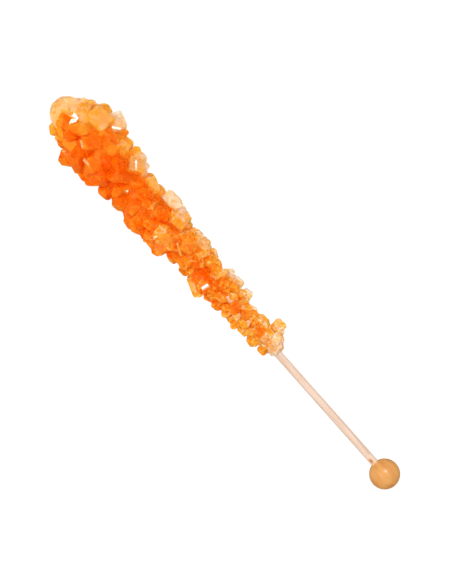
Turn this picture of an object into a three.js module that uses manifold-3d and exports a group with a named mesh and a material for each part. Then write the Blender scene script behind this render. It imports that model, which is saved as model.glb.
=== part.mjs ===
// A rock candy stick, lying on a table.
//
// A thin wooden dowel is glued into a wooden ball at one end. The other two thirds of it carry a craggy club
// of sugar crystals that grew on the wood in syrup. The dowel runs on inside the sugar almost to the tip.
//
// Millimetres. The stick is first built along +X with the centre of its ball at the origin. It is then tipped
// up a little, because it rests on the ball at one end and on the underside of the thick sugar head at the
// other. Last it is moved so that the middle of its footprint is the origin and the table is z = 0.

import * as THREE from "three";
import { ConvexGeometry } from "three/addons/geometries/ConvexGeometry.js";
import { mergeVertices } from "three/addons/utils/BufferGeometryUtils.js";
import Module from "manifold-3d";

// ---- Driving dimensions --------------------------------------------------------------------------------
// "Along" is always the distance from the centre of the ball towards the tip.

const BALL_DIAMETER = 10;
const DOWEL_DIAMETER = 2.6;
const DOWEL_END = 151; // along, inside the sugar
const DOWEL_IN_BALL = 3.5; // how deep the dowel is glued into the ball
const GLUE_GAP = 0.3; // round the dowel, in the ball and in the sugar

// The sugar's core, which the crystals stand on: along, radius, and how far its middle has grown off the
// dowel towards -Y.
const CORE = [
  [53.0, 1.7, 0.7],
  [54.6, 2.5, 1.0],
  [58.0, 3.0, 1.3],
  [65.0, 2.7, -0.2],
  [71.0, 3.2, 0.0],
  [78.0, 4.2, 0.4],
  [90.0, 4.4, 0.3],
  [99.0, 4.7, 0.6],
  [106.0, 5.8, 0.4],
  [113.0, 6.0, 0.2],
  [120.0, 5.5, 0.1],
  [128.0, 6.4, 0.5],
  [136.0, 7.1, 0.7],
  [143.0, 8.3, 1.2],
  [149.0, 6.8, 1.3],
  [153.0, 4.9, 1.0],
  [155.6, 3.0, 0.7],
  [157.0, 0.0, 0.6],
];
const SUGAR_START = CORE[0][0];

// The crystals get coarser from the neck of the club to its head, and finer again at the tip.
const NECK_CRYSTAL = 3.0;
const HEAD_CRYSTAL = 6.2;
const COARSE_FROM = 60; // along
const COARSE_TO = 138;
const FINER_FROM = 148; // along
const FINER_TO = 157;
const TIP_SHARE = 0.65; // of the head's crystals
const SPACING = 0.95; // the distance between crystals as a share of their size
const SEED = 20;

// How the stick lies.
const TIP_UP_DEGREES = 2.4;
const BALL_FLAT = 0.12; // how much of the ball is worn flat where it touches the table

// ---- Crystals that stand out from the rest -------------------------------------------------------------
// Each row: where along the stick the crystal's outer end is, how far that end is from the dowel's middle
// line, the turn about the stick in degrees (0 is up, 90 the -Y side, -90 the +Y side), the crystal's width,
// and how many degrees it leans towards the tip.

const STANDING_CRYSTALS = [
  // the -Y side, from the neck to the tip
  [54.2, 5.0, 90, 3.8, -20],
  [57.2, 6.7, 92, 3.4, 0],
  [59.0, 8.2, 90, 3.6, 5],
  [63.4, 5.1, 88, 3.2, 0],
  [73.2, 7.1, 92, 3.0, 20],
  [78.0, 7.3, 88, 3.6, 10],
  [81.8, 7.6, 92, 3.0, 0],
  [86.6, 5.8, 86, 3.2, 0],
  [91.0, 7.5, 90, 3.6, 5],
  [94.6, 8.0, 92, 3.8, 0],
  [98.2, 7.8, 88, 3.6, 0],
  [104.6, 8.9, 88, 4.8, 0],
  [112.4, 9.6, 94, 5.6, 0],
  [117.4, 6.3, 92, 3.8, 20],
  [121.2, 8.5, 90, 4.4, 10],
  [126.4, 9.5, 88, 4.0, 10],
  [131.4, 10.9, 92, 4.4, 0],
  [138.6, 11.7, 88, 4.0, 0],
  [141.8, 11.5, 104, 5.4, -5],
  [146.8, 12.5, 96, 5.2, 5],
  [152.4, 9.9, 90, 4.6, 30],
  [155.2, 7.8, 90, 4.4, 45],
  [156.4, 3.6, 100, 4.2, 60],
  // the +Y side, from the neck to the tip
  [56.2, 4.4, -90, 3.0, -10],
  [61.0, 5.3, -88, 3.6, 0],
  [65.2, 4.8, -90, 3.8, 0],
  [68.4, 6.0, -92, 4.0, 0],
  [73.0, 5.8, -88, 3.8, 0],
  [77.0, 6.1, -90, 4.4, 0],
  [82.2, 6.8, -78, 4.2, -60],
  [88.0, 6.4, -90, 3.6, 0],
  [92.4, 6.4, -90, 3.6, 0],
  [98.4, 6.3, -88, 4.4, 0],
  [103.0, 8.8, -92, 5.2, 0],
  [107.8, 8.7, -86, 4.6, 0],
  [111.6, 8.7, -92, 4.2, 0],
  [115.4, 9.5, -90, 5.0, 0],
  [122.2, 8.6, -88, 5.4, 0],
  [128.0, 9.0, -90, 5.4, 0],
  [133.4, 10.4, -92, 7.0, 0],
  [138.0, 9.4, -88, 4.6, 0],
  [144.8, 9.4, -88, 4.4, 10],
  [149.4, 8.3, -90, 4.4, 15],
  [154.6, 7.5, -88, 4.4, 35],
  [156.8, 2.8, -88, 4.6, 60],
  [158.6, 0.9, 90, 5.0, 88],
  // big ones that show from above
  [82.0, 7.2, -38, 4.6, -60],
  [97.0, 8.6, 18, 5.2, -30],
  [107.0, 9.4, -22, 5.4, 40],
  [117.0, 9.6, 12, 5.2, -35],
  [125.6, 9.4, -34, 5.0, 20],
  [133.0, 11.4, 14, 5.6, 30],
  [141.0, 10.9, 34, 5.6, 10],
  [149.0, 9.0, -30, 5.0, 20],
  // the two that the head lies on
  [129.0, 11.1, 165, 5.0, 0],
  [142.0, 11.9, 197, 5.4, 0],
  // small ones on the +Y side that fill the outline between two others
  [71.0, 5.3, -90, 3.2, 0],
  [105.8, 8.2, -90, 3.6, 0],
  [136.6, 10.2, -90, 4.6, 0],
];

// The broad ones that give the head and its tip their look have a shape of their own. Each row: the middle of
// the ridge at the crystal's outer end, the way it grows, its turn about that way in degrees, then its width,
// thickness, length and roof, and the ridge's length as a share of the width.
const SHAPED_CRYSTALS = [
  [[105.2, -5.6, 6.4], [0, -0.4, 1], 8, 5.0, 5.6, 6, 0.5, 0.7], // the squarish one at the waist
  [[111.4, -7.4, 4.8], [0, -0.2, 1], 2, 6.6, 3.8, 6, 0.4, 0.8], // the long pale one on the -Y side
  [[119.0, -6.4, 5.0], [0, -0.5, 1], -24, 6.0, 3.4, 6, 0.5, 0.6], // the wedge next to it
  [[127.6, -6.9, 6.8], [0.1, -0.5, 1], 35, 5.2, 4.8, 7, 0.8, 0.8], // the pale one with a bright stripe
  [[142.3, -10.8, 4.4], [0.1, -0.3, 1], -20, 6.0, 5.4, 7, 0.8, 0.6], // the widest one of the head
  [[146.4, -7.7, 7.8], [0.2, -0.4, 1], 6, 7.4, 6.6, 8, 0.6, 0.8], // the largest flat one
  [[152.4, -5.4, 6.2], [0.5, -0.45, 1], 34, 5.2, 5.0, 7, 0.6, 0.7], // the one between it and the cap
  [[153.6, 1.9, 7.2], [0.45, 0.1, 1], 20, 4.6, 4.4, 6, 0.8, 0.7], // the lump behind the cap
  [[160.7, -0.5, -0.3], [1, 0, 0], 90, 11.4, 9.0, 9, 4.6, 0.34], // the cap at the tip
  [[144.3, 11.8, 1.6], [0.1, 1, 0.2], 0, 5.8, 4.2, 7, 2.6, 0.33], // the spike on the +Y side
];

// ---- Small tools ---------------------------------------------------------------------------------------

const wasm = await Module();
wasm.setup();

const mix = (a, b, share) => a + (b - a) * share;

// The same row of "random" numbers between 0 and 1 every time.
function randomSource(seed) {
  let state = seed;
  return () => {
    state = (state + 0x6d2b79f5) | 0;
    let t = Math.imul(state ^ (state >>> 15), 1 | state);
    t = (t + Math.imul(t ^ (t >>> 7), 61 | t)) ^ t;
    return ((t ^ (t >>> 14)) >>> 0) / 2 ** 32;
  };
}

const SAME_POINT = 1e-4; // points closer than this are one

function solidOf(geometry) {
  const bare = geometry.index ? geometry.toNonIndexed() : geometry.clone();
  bare.deleteAttribute("normal");
  bare.deleteAttribute("uv");
  const merged = mergeVertices(bare, SAME_POINT);
  return new wasm.Manifold(
    new wasm.Mesh({
      numProp: 3,
      vertProperties: new Float32Array(merged.attributes.position.array),
      triVerts: new Uint32Array(merged.index.array),
    }),
  );
}

function geometryOf(solid) {
  const { vertProperties, triVerts } = solid.getMesh();
  const geometry = new THREE.BufferGeometry();
  geometry.setAttribute("position", new THREE.BufferAttribute(vertProperties, 3));
  geometry.setIndex(new THREE.BufferAttribute(triVerts, 1));
  geometry.computeVertexNormals();
  return geometry;
}

// A solid of revolution about +X from a profile of [along, radius].
function turned(profile, sides) {
  const points = profile.map(([along, radius]) => new THREE.Vector2(radius, along));
  return new THREE.LatheGeometry(points, sides).rotateZ(-Math.PI / 2);
}

const ROD_SIDES = 24;

function rod(start, end, diameter) {
  const radius = diameter / 2;
  return turned([[start, 0], [start, radius], [end, radius], [end, 0]], ROD_SIDES);
}

// ---- The core ------------------------------------------------------------------------------------------

// The place on the core's outline after a given run along it, with the outline's direction there.
function coreAt(run) {
  let left = run;
  for (let i = 1; i < CORE.length; i++) {
    const [along, radius, aside] = CORE[i - 1];
    const stepAlong = CORE[i][0] - along;
    const stepRadius = CORE[i][1] - radius;
    const length = Math.hypot(stepAlong, stepRadius);
    if (left <= length) {
      const share = left / length;
      return {
        along: along + stepAlong * share,
        radius: radius + stepRadius * share,
        aside: mix(aside, CORE[i][2], share),
        forward: stepAlong / length,
        outward: stepRadius / length,
      };
    }
    left -= length;
  }
  return null;
}

const CORE_SIDES = 20;
const SAME_RING = 1e-3;

// The core is turned as one round shape, and then each ring of it is moved aside.
function makeCore() {
  const outline = CORE.map(([along, radius]) => [along, radius]);
  const geometry = turned([[SUGAR_START, 0], ...outline], CORE_SIDES);
  const { position } = geometry.attributes;
  for (let i = 0; i < position.count; i++) {
    const [, , aside] = CORE.find(([along]) => Math.abs(along - position.getX(i)) < SAME_RING);
    position.setY(i, position.getY(i) - aside);
  }
  return solidOf(geometry);
}

// ---- The crystals --------------------------------------------------------------------------------------

const RIDGE_SHARE = 0.8; // of a crystal's width

// A sugar crystal is a slanted block: four sides, and a roof of two sloping faces at the outer end. Its
// length runs along z, with the outer end at z = 0.
function crystalPoints(width, thickness, length, roof, slant, ridgeShare = RIDGE_SHARE) {
  const w = width / 2;
  const t = thickness / 2;
  const corners = [[-w, -t], [w, -t], [w + slant, t], [-w + slant, t]];
  return [
    ...corners.map(([x, y]) => new THREE.Vector3(x, y, -roof)),
    ...corners.map(([x, y]) => new THREE.Vector3(x, y, -length)),
    new THREE.Vector3(-w * ridgeShare + slant / 2, 0, 0),
    new THREE.Vector3(w * ridgeShare + slant / 2, 0, 0),
  ];
}

// The least and the most of a crystal's width, thickness, length, roof and slant, as shares of its size.
const CRYSTAL_SHARES = [[0.8, 1.15], [0.6, 0.95], [1.5, 1.9], [0.15, 0.5], [-0.2, 0.2]];

// One crystal of about the given size, with its outer end at `tip`. It grows out along `outward`, but leans
// up to `lean` radians to a random side.
function crystal(tip, outward, size, random, lean) {
  const [width, thickness, length, roof, slant] = CRYSTAL_SHARES.map(
    ([least, most]) => size * mix(least, most, random()));
  const spin = random() * Math.PI * 2;
  const leanTowards = random() * Math.PI * 2;
  const leanBy = lean * Math.sqrt(random());
  const leanAxis = new THREE.Vector3(Math.cos(leanTowards), Math.sin(leanTowards), 0);
  const up = new THREE.Vector3(0, 0, 1);
  const turn = new THREE.Quaternion()
    .setFromUnitVectors(up, outward)
    .multiply(new THREE.Quaternion().setFromAxisAngle(leanAxis, leanBy))
    .multiply(new THREE.Quaternion().setFromAxisAngle(up, spin));
  const points = crystalPoints(width, thickness, length, roof, slant);
  return points.map((point) => point.applyQuaternion(turn).add(tip));
}

const STANDING_LEAN = 0.25; // radians

// Each row has random numbers of its own, so that a change to one crystal leaves all others as they are.
function standingCrystals() {
  return STANDING_CRYSTALS.map(([along, out, turnDegrees, size, leanDegrees], i) => {
    const turn = THREE.MathUtils.degToRad(turnDegrees);
    const lean = THREE.MathUtils.degToRad(leanDegrees);
    const tip = new THREE.Vector3(along, -out * Math.sin(turn), out * Math.cos(turn));
    const outward = new THREE.Vector3(
      Math.sin(lean),
      -Math.cos(lean) * Math.sin(turn),
      Math.cos(lean) * Math.cos(turn),
    );
    return crystal(tip, outward, size, randomSource(i + 1), STANDING_LEAN);
  });
}

function shapedCrystals() {
  const up = new THREE.Vector3(0, 0, 1);
  return SHAPED_CRYSTALS.map(([middle, grows, spinDegrees, width, thickness, length, roof, ridgeShare]) => {
    const spin = THREE.MathUtils.degToRad(spinDegrees);
    const turn = new THREE.Quaternion()
      .setFromUnitVectors(up, new THREE.Vector3(...grows).normalize())
      .multiply(new THREE.Quaternion().setFromAxisAngle(up, spin));
    const points = crystalPoints(width, thickness, length, roof, 0, ridgeShare);
    return points.map((point) => point.applyQuaternion(turn).add(new THREE.Vector3(...middle)));
  });
}

const ROOM_SHARE = 0.25; // of a shaped crystal's width and thickness together

// A shaped crystal has pushed others away, so no spread one ends within its room.
function isInRoomOfShaped(tip) {
  return SHAPED_CRYSTALS.some(([middle, , , width, thickness]) =>
    tip.distanceTo(new THREE.Vector3(...middle)) < ROOM_SHARE * (width + thickness));
}

const FIRST_RUN = 0.6;
const SIZE_SHARES = [0.8, 1.2]; // of the usual size there
const STAND_SHARES = [0.2, 0.5]; // of a crystal's size: how far it stands out of the core
const FOOT_SHARE = 0.3; // of a crystal's size: how far out of the core its room is measured
const LEAST_ROOM_RADIUS = 1.5;
const TURN_JITTER = 0.25; // radians
const SPREAD_LEAN = 0.8; // radians
const GOLDEN_ANGLE = Math.PI * (3 - Math.sqrt(5));

// The crystals cover the core as seeds cover a cone: one after the other up a spiral that turns by the golden
// angle, with a longer run to the next one where they are coarse or the core is thin.
function spreadCrystals(random) {
  const made = [];
  let run = FIRST_RUN;
  let around = 0;
  for (let at = coreAt(run); at; at = coreAt(run)) {
    const coarse = THREE.MathUtils.smoothstep(at.along, COARSE_FROM, COARSE_TO);
    const finer = mix(1, TIP_SHARE, THREE.MathUtils.smoothstep(at.along, FINER_FROM, FINER_TO));
    const size = mix(NECK_CRYSTAL, HEAD_CRYSTAL, coarse) * finer * mix(...SIZE_SHARES, random());
    const turn = around + mix(-TURN_JITTER, TURN_JITTER, random());
    const stand = size * mix(...STAND_SHARES, random());
    const outward = new THREE.Vector3(
      -at.outward, at.forward * Math.cos(turn), at.forward * Math.sin(turn));
    const foot = new THREE.Vector3(
      at.along, at.radius * Math.cos(turn) - at.aside, at.radius * Math.sin(turn));
    const tip = foot.addScaledVector(outward, stand);
    const points = crystal(tip, outward, size, random, SPREAD_LEAN);
    if (!isInRoomOfShaped(tip)) made.push(points);
    const girth = 2 * Math.PI * Math.max(at.radius + FOOT_SHARE * size, LEAST_ROOM_RADIUS);
    run += (SPACING * size) ** 2 / girth;
    around += GOLDEN_ANGLE;
  }
  return made;
}

// ---- Laying it down ------------------------------------------------------------------------------------

const stick = new THREE.Group();
stick.rotation.y = -THREE.MathUtils.degToRad(TIP_UP_DEGREES);
stick.position.z = BALL_DIAMETER / 2 - BALL_FLAT;
stick.updateMatrixWorld(true);

// The table as the tipped stick sees it. Cutting with it gives the ball and the lowest crystals their small
// flats.
const TABLE_SIZE = 600;
const table = solidOf(
  new THREE.BoxGeometry(TABLE_SIZE, TABLE_SIZE, TABLE_SIZE)
    .translate(0, 0, -TABLE_SIZE / 2)
    .applyMatrix4(stick.matrixWorld.clone().invert()),
);

// ---- The three pieces ----------------------------------------------------------------------------------

const FINEST_DETAIL = 0.08;
const FINEST_EDGE = 0.01;
const HOLE_LEAD = 10; // how far the drill for the dowel's hole reaches outside the sugar

// Crossing crystals leave slivers, which are smoothed over here where they are smaller than `detail`.
function simpler(solid, detail) {
  return solid.asOriginal().simplify(detail);
}

// A hollow that is sealed between crystals is a body of its own here, so keeping the biggest body fills it.
function biggestBody(solid) {
  return solid.decompose().sort((a, b) => b.volume() - a.volume())[0];
}

// The crystals and their core, grown into one solid with a blind hole that the dowel fills.
function makeSugar() {
  const crystals = [
    ...standingCrystals(),
    ...shapedCrystals(),
    ...spreadCrystals(randomSource(SEED)),
  ];
  const grown = crystals.reduce(
    (mass, points) => mass.add(solidOf(new ConvexGeometry(points))), makeCore());
  const hole = rod(SUGAR_START - HOLE_LEAD, DOWEL_END + GLUE_GAP, DOWEL_DIAMETER + 2 * GLUE_GAP);
  const body = biggestBody(simpler(grown, FINEST_DETAIL));
  return simpler(body.subtract(solidOf(hole)).subtract(table), FINEST_EDGE);
}

const DOWEL_START = BALL_DIAMETER / 2 - DOWEL_IN_BALL;
const BALL_SIDES = 36;
const BALL_RINGS = 20;

// The ball is turned in one go with its socket: from the far pole over the round to the rim, then into the
// hole.
function makeBall() {
  const radius = BALL_DIAMETER / 2;
  const socketRadius = DOWEL_DIAMETER / 2 + GLUE_GAP;
  const socketEnd = DOWEL_START - GLUE_GAP;
  const rimAngle = Math.asin(socketRadius / radius);
  const outline = [[-radius, 0]];
  for (let ring = 1; ring <= BALL_RINGS; ring++) {
    const angle = mix(Math.PI, rimAngle, ring / BALL_RINGS);
    outline.push([radius * Math.cos(angle), radius * Math.sin(angle)]);
  }
  outline.push([socketEnd, socketRadius], [socketEnd, 0]);
  return simpler(solidOf(turned(outline, BALL_SIDES)).subtract(table), FINEST_EDGE);
}

function makeDowel() {
  return solidOf(rod(DOWEL_START, DOWEL_END, DOWEL_DIAMETER));
}

// ---- Putting it together -------------------------------------------------------------------------------

function addPiece(name, solid, colour, roughness) {
  const material = new THREE.MeshStandardMaterial({ color: colour, roughness, metalness: 0 });
  const mesh = new THREE.Mesh(geometryOf(solid), material);
  mesh.name = name;
  stick.add(mesh);
}

addPiece("sugar_crystals", makeSugar(), 0xff7a1e, 0.15);
addPiece("ball", makeBall(), 0xe6a463, 0.45);
addPiece("dowel", makeDowel(), 0xf4d9c4, 0.6);

const footprint = new THREE.Box3().setFromObject(stick, true);
const middle = footprint.getCenter(new THREE.Vector3());
stick.position.x -= middle.x;
stick.position.y -= middle.y;

const group = new THREE.Group();
group.add(stick);

export default group;
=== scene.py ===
# %% [markdown]
# # A rock candy stick
# This lesson dresses a finished construction model of a rock candy stick: orange sugar crystals that grew
# on a thin wooden dowel, with a turned wooden ball glued to the bare end. The construction gives every
# place and size. Here we make what the eye sees: clear crystals, dyed sugar that light shines through,
# and two kinds of wood.

# %% Load the construction model
import math

import bmesh
import bpy
from mathutils import Matrix, Quaternion, Vector


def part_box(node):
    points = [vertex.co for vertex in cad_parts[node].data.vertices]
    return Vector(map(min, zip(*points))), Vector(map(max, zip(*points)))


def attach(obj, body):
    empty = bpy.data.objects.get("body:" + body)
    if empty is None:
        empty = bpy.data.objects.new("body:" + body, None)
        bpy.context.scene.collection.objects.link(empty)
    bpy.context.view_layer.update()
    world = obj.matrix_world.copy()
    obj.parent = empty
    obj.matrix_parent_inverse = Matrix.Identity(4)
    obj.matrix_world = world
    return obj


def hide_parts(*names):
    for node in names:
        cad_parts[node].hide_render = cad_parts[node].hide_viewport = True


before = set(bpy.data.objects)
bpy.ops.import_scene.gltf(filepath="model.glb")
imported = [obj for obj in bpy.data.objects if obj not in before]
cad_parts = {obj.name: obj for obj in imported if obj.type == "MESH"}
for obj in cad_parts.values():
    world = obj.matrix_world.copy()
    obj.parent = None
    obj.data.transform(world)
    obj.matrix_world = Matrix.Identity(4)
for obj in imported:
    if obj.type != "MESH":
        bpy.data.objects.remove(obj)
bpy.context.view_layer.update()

MM = 0.001

# %% [markdown]
# ## Where the stick lies
# The stick is easiest to think about when it points straight along X, with the middle of its ball at
# zero. On the table it is tipped up by a few degrees, because the sugar head is thicker than the ball.
# One matrix takes us from the first picture to the second. The dowel's box tells us where the middle of
# the dowel has to end up.

# %% The stick's own axes
BALL_DIAMETER = 10.0
DOWEL_DIAMETER = 2.6
DOWEL_START = 1.5
DOWEL_END = 151.0
TIP_UP = math.radians(2.4)
MATRIX_SIZE = 4


def stick_to_table():
    """The matrix from the straight stick, in millimetres, to the lying one, in metres."""
    tip_up = Matrix.Rotation(-TIP_UP, MATRIX_SIZE, "Y") @ Matrix.Scale(MM, MATRIX_SIZE)
    low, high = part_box("dowel")
    dowel_middle = (Vector(low) + Vector(high)) / 2
    half_way = Vector(((DOWEL_START + DOWEL_END) / 2, 0, 0))
    return Matrix.Translation(dowel_middle - tip_up @ half_way) @ tip_up


STICK = stick_to_table()


def table_x(along):
    """The X on the table of a place along the stick."""
    return (STICK @ Vector((along, 0, 0))).x


print("the ball's middle is at", [round(c / MM, 2) for c in STICK.translation], "mm")

# %% [markdown]
# ## The camera
# The stick is seen from straight above, lying across an upright picture with its tip at the upper left. A
# long lens from far away keeps the club of sugar from bulging. The camera has no tilt, so its three axes
# can be written down: the picture's right and up directions on the table, and straight up towards the
# lens.

# %% Set the camera up
PICTURE_HEIGHT_ON_TABLE = 187.8  # millimetres
PICTURE_MIDDLE = (78.05, -0.67)  # along the stick from the ball's middle, and across it
STICK_IN_PICTURE = math.radians(131.57)  # from the picture's right, anticlockwise, to the way the tip points
LENS = 135.0
SENSOR = 36.0
FARTHEST_SEEN = 20.0
RIGHT = Vector((math.cos(STICK_IN_PICTURE), -math.sin(STICK_IN_PICTURE), 0))
UP_THE_PICTURE = Vector((math.sin(STICK_IN_PICTURE), math.cos(STICK_IN_PICTURE), 0))
SKY = Vector((0, 0, 1))


def make_camera():
    """A camera that looks straight down on the stick."""
    data = bpy.data.cameras.new("camera")
    data.lens = LENS
    data.sensor_width = SENSOR
    data.sensor_fit = "AUTO"
    data.clip_end = FARTHEST_SEEN
    camera = bpy.data.objects.new("camera", data)
    bpy.context.scene.collection.objects.link(camera)
    look_at = STICK @ Vector((*PICTURE_MIDDLE, 0))
    distance = PICTURE_HEIGHT_ON_TABLE * MM / 2 / (SENSOR / 2 / LENS)
    turn = Matrix((RIGHT, UP_THE_PICTURE, SKY)).transposed().to_4x4()
    camera.matrix_world = Matrix.Translation(look_at + SKY * distance) @ turn
    bpy.context.scene.camera = camera
    return distance


print("the camera is", round(make_camera(), 3), "m above the stick")

# %% [markdown]
# ## Shader helpers
# Every finish here is a small tree of nodes, and a few helpers keep the trees short. The first ones make
# a material, link or set sockets, and add a node. The others add the nodes that come up again and again:
# a sum, a change of range, a value stored on the mesh, a place, a noise, a colour ramp and a mix of two
# colours.

# %% Materials, sockets and nodes


def new_material(name):
    """An empty node material, with its tree and its Principled shader."""
    material = bpy.data.materials.new(name)
    material.use_nodes = True
    tree = material.node_tree
    return material, tree, tree.nodes["Principled BSDF"]


def plug(tree, socket, value):
    """Links a socket to another one, or sets it to a value."""
    if isinstance(value, bpy.types.NodeSocket):
        tree.links.new(value, socket)
    else:
        socket.default_value = value


def set_inputs(tree, node, inputs):
    """Links or sets the inputs of a node by their names."""
    for name, value in inputs.items():
        plug(tree, node.inputs[name], value)


def add_node(tree, kind, settings=None, **inputs):
    """A node with its settings and its inputs."""
    node = tree.nodes.new(kind)
    for name, value in (settings or {}).items():
        setattr(node, name, value)
    set_inputs(tree, node, inputs)
    return node


# %% Numbers in a shader tree


def maths(tree, operation, *values):
    """The result of a sum, a product or the like."""
    node = add_node(tree, "ShaderNodeMath", {"operation": operation})
    for socket, value in zip(node.inputs, values):
        plug(tree, socket, value)
    return node.outputs[0]


def remap(tree, value, from_range, to_range):
    """A value moved from one range to another, and held inside it."""
    node = add_node(tree, "ShaderNodeMapRange", Value=value)
    for socket, number in zip(node.inputs[1:], (*from_range, *to_range)):
        plug(tree, socket, number)
    return node.outputs[0]


def stored(tree, name):
    """A value that is stored on the mesh."""
    return add_node(tree, "ShaderNodeAttribute", {"attribute_name": name}).outputs["Fac"]


# %% Places in a shader tree


def own_place(tree):
    """The place on a piece, which is the place on the table too."""
    return add_node(tree, "ShaderNodeTexCoord").outputs["Object"]


def x_of(tree, place):
    """The X of a place."""
    return add_node(tree, "ShaderNodeSeparateXYZ", Vector=place).outputs["X"]


def scaled(tree, place, scale):
    """A place scaled along each axis, so that a pattern on it comes out longer one way."""
    return add_node(tree, "ShaderNodeMapping", Vector=place, Scale=scale).outputs[0]


def noise(tree, place, waves_per_metre, detail, output="Fac"):
    """A soft noise between 0 and 1. More detail lays more and finer noises over it."""
    node = add_node(tree, "ShaderNodeTexNoise", Vector=place, Scale=waves_per_metre, Detail=detail)
    return node.outputs[output]


# %% Colours in a shader tree
ANYWHERE = 0.5
MIX_SHARE, MIX_FIRST, MIX_SECOND = 0, 6, 7  # the inputs of a Mix node that are for colours
MIXED_COLOUR = 2


def solid(colour):
    """A colour that nothing shows through."""
    return (*colour, 1.0)


def add_ramp(tree, factor, stops):
    """A colour ramp over a factor, with stops of place and colour."""
    ramp = add_node(tree, "ShaderNodeValToRGB", Fac=factor)
    elements = ramp.color_ramp.elements
    while len(elements) < len(stops):
        elements.new(ANYWHERE)
    for element, (place, colour) in zip(elements, stops):
        element.position = place
        element.color = solid(colour)
    return ramp.outputs["Color"]


def mix_colour(tree, share, first, second):
    """A colour that goes from the first to the second as the share rises."""
    node = add_node(tree, "ShaderNodeMix", {"data_type": "RGBA"})
    plug(tree, node.inputs[MIX_SHARE], share)
    plug(tree, node.inputs[MIX_FIRST], first)
    plug(tree, node.inputs[MIX_SECOND], second)
    return node.outputs[MIXED_COLOUR]


# %% [markdown]
# ## The light
# Clear candy shows what is behind it, so it lies on a glowing white table in a white room. But the facets
# should not mirror that whiteness, or the orange turns milky. The Light Path node tells the room which
# kind of ray is asking. Rays that have passed through the sugar see white, light on a dull surface comes
# from a softer white, and mirrored rays see a dim, warm room. One small bright soft box puts a glint on
# the few facets that face it. Two weaker ones light the flanks, and a wide one models the round of the
# wood. None of these three shows in a facet.

# %% Light the room
WHITE_ROOM = 1.0
SOFT_ROOM = 0.7
DIM_ROOM = 0.3
WHITE = (1.0, 1.0, 1.0)
WARM = (1.0, 0.62, 0.25)
NO_OR_YES = (0.0, 1.0)


def light_room():
    """A world that is white behind the sugar, softer on dull surfaces, and dim and warm in mirrors."""
    world = bpy.data.worlds.new("room")
    world.use_nodes = True
    bpy.context.scene.world = world
    tree = world.node_tree
    ray = add_node(tree, "ShaderNodeLightPath").outputs
    seen_through = maths(tree, "MAXIMUM", ray["Is Transmission Ray"], ray["Is Camera Ray"])
    glow = remap(tree, ray["Is Diffuse Ray"], NO_OR_YES, (DIM_ROOM, SOFT_ROOM))
    glow = remap(tree, seen_through, NO_OR_YES, (glow, WHITE_ROOM))
    colour = mix_colour(tree, ray["Is Glossy Ray"], solid(WHITE), solid(WARM))
    set_inputs(tree, tree.nodes["Background"], {"Strength": glow, "Color": colour})


light_room()

# %% Hang the soft boxes
# The direction as right, up the picture and high; then side, brightness and whether facets mirror it.
SOFT_BOXES = {
    "soft_box_top": ((0.1, 0.42, 1.0), 0.22, 32.0, True),
    "soft_box_left": ((-1.0, 0.1, 0.9), 0.4, 4.0, False),
    "soft_box_right": ((0.9, -0.3, 0.9), 0.4, 4.0, False),
    "soft_box_over": ((-0.6, -0.15, 1.0), 0.8, 2.4, False),
}
SOFT_BOX_DISTANCE = 1.3


def towards_lamp(name):
    """The direction of a soft box on the table."""
    (right, up, high), *_ = SOFT_BOXES[name]
    return (RIGHT * right + UP_THE_PICTURE * up + SKY * high).normalized()


def hang_soft_box(name):
    """A square lamp that faces the middle of the stick."""
    _, side, brightness, mirrored = SOFT_BOXES[name]
    data = bpy.data.lights.new(name, "AREA")
    data.shape = "SQUARE"
    data.size = side
    data.energy = brightness * math.pi * side**2
    lamp = bpy.data.objects.new(name, data)
    lamp.visible_glossy = mirrored
    bpy.context.scene.collection.objects.link(lamp)
    towards = towards_lamp(name)
    turn = towards.to_track_quat("Z", "Y").to_matrix().to_4x4()
    lamp.matrix_world = Matrix.Translation(towards * SOFT_BOX_DISTANCE) @ turn


for name in SOFT_BOXES:
    hang_soft_box(name)
print("the room has", len(SOFT_BOXES), "soft boxes")

# %% Let light pass through many crystals
PASSES = 32
MIRRORINGS = 12
scene = bpy.context.scene
scene.view_settings.view_transform = "Standard"
scene.cycles.use_denoising = True
scene.cycles.max_bounces = PASSES
scene.cycles.transmission_bounces = PASSES
scene.cycles.glossy_bounces = MIRRORINGS
print("light may pass through", PASSES, "facets")

# %% [markdown]
# ## Where crystals grow
# Real crystals seed themselves all over the core and grow outwards until they meet their neighbours. The
# rule that placed them in the construction is repeated here, draw by draw, so that the same crystals
# stand in the same places. It needs the outline of the core, two lists of crystals that stand out, and a
# row of numbers that look random but are the same every time.

# %% The core
CORE = [  # along, radius, and how far the core's middle is off the dowel, in millimetres
    (53.0, 1.7, 0.7), (54.6, 2.5, 1.0), (58.0, 3.0, 1.3), (65.0, 2.7, -0.2), (71.0, 3.2, 0.0),
    (78.0, 4.2, 0.4), (90.0, 4.4, 0.3), (99.0, 4.7, 0.6), (106.0, 5.8, 0.4), (113.0, 6.0, 0.2),
    (120.0, 5.5, 0.1), (128.0, 6.4, 0.5), (136.0, 7.1, 0.7), (143.0, 8.3, 1.2), (149.0, 6.8, 1.3),
    (153.0, 4.9, 1.0), (155.6, 3.0, 0.7), (157.0, 0.0, 0.6),
]
print("the core runs over", CORE[-1][0] - CORE[0][0], "mm of the dowel")

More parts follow.
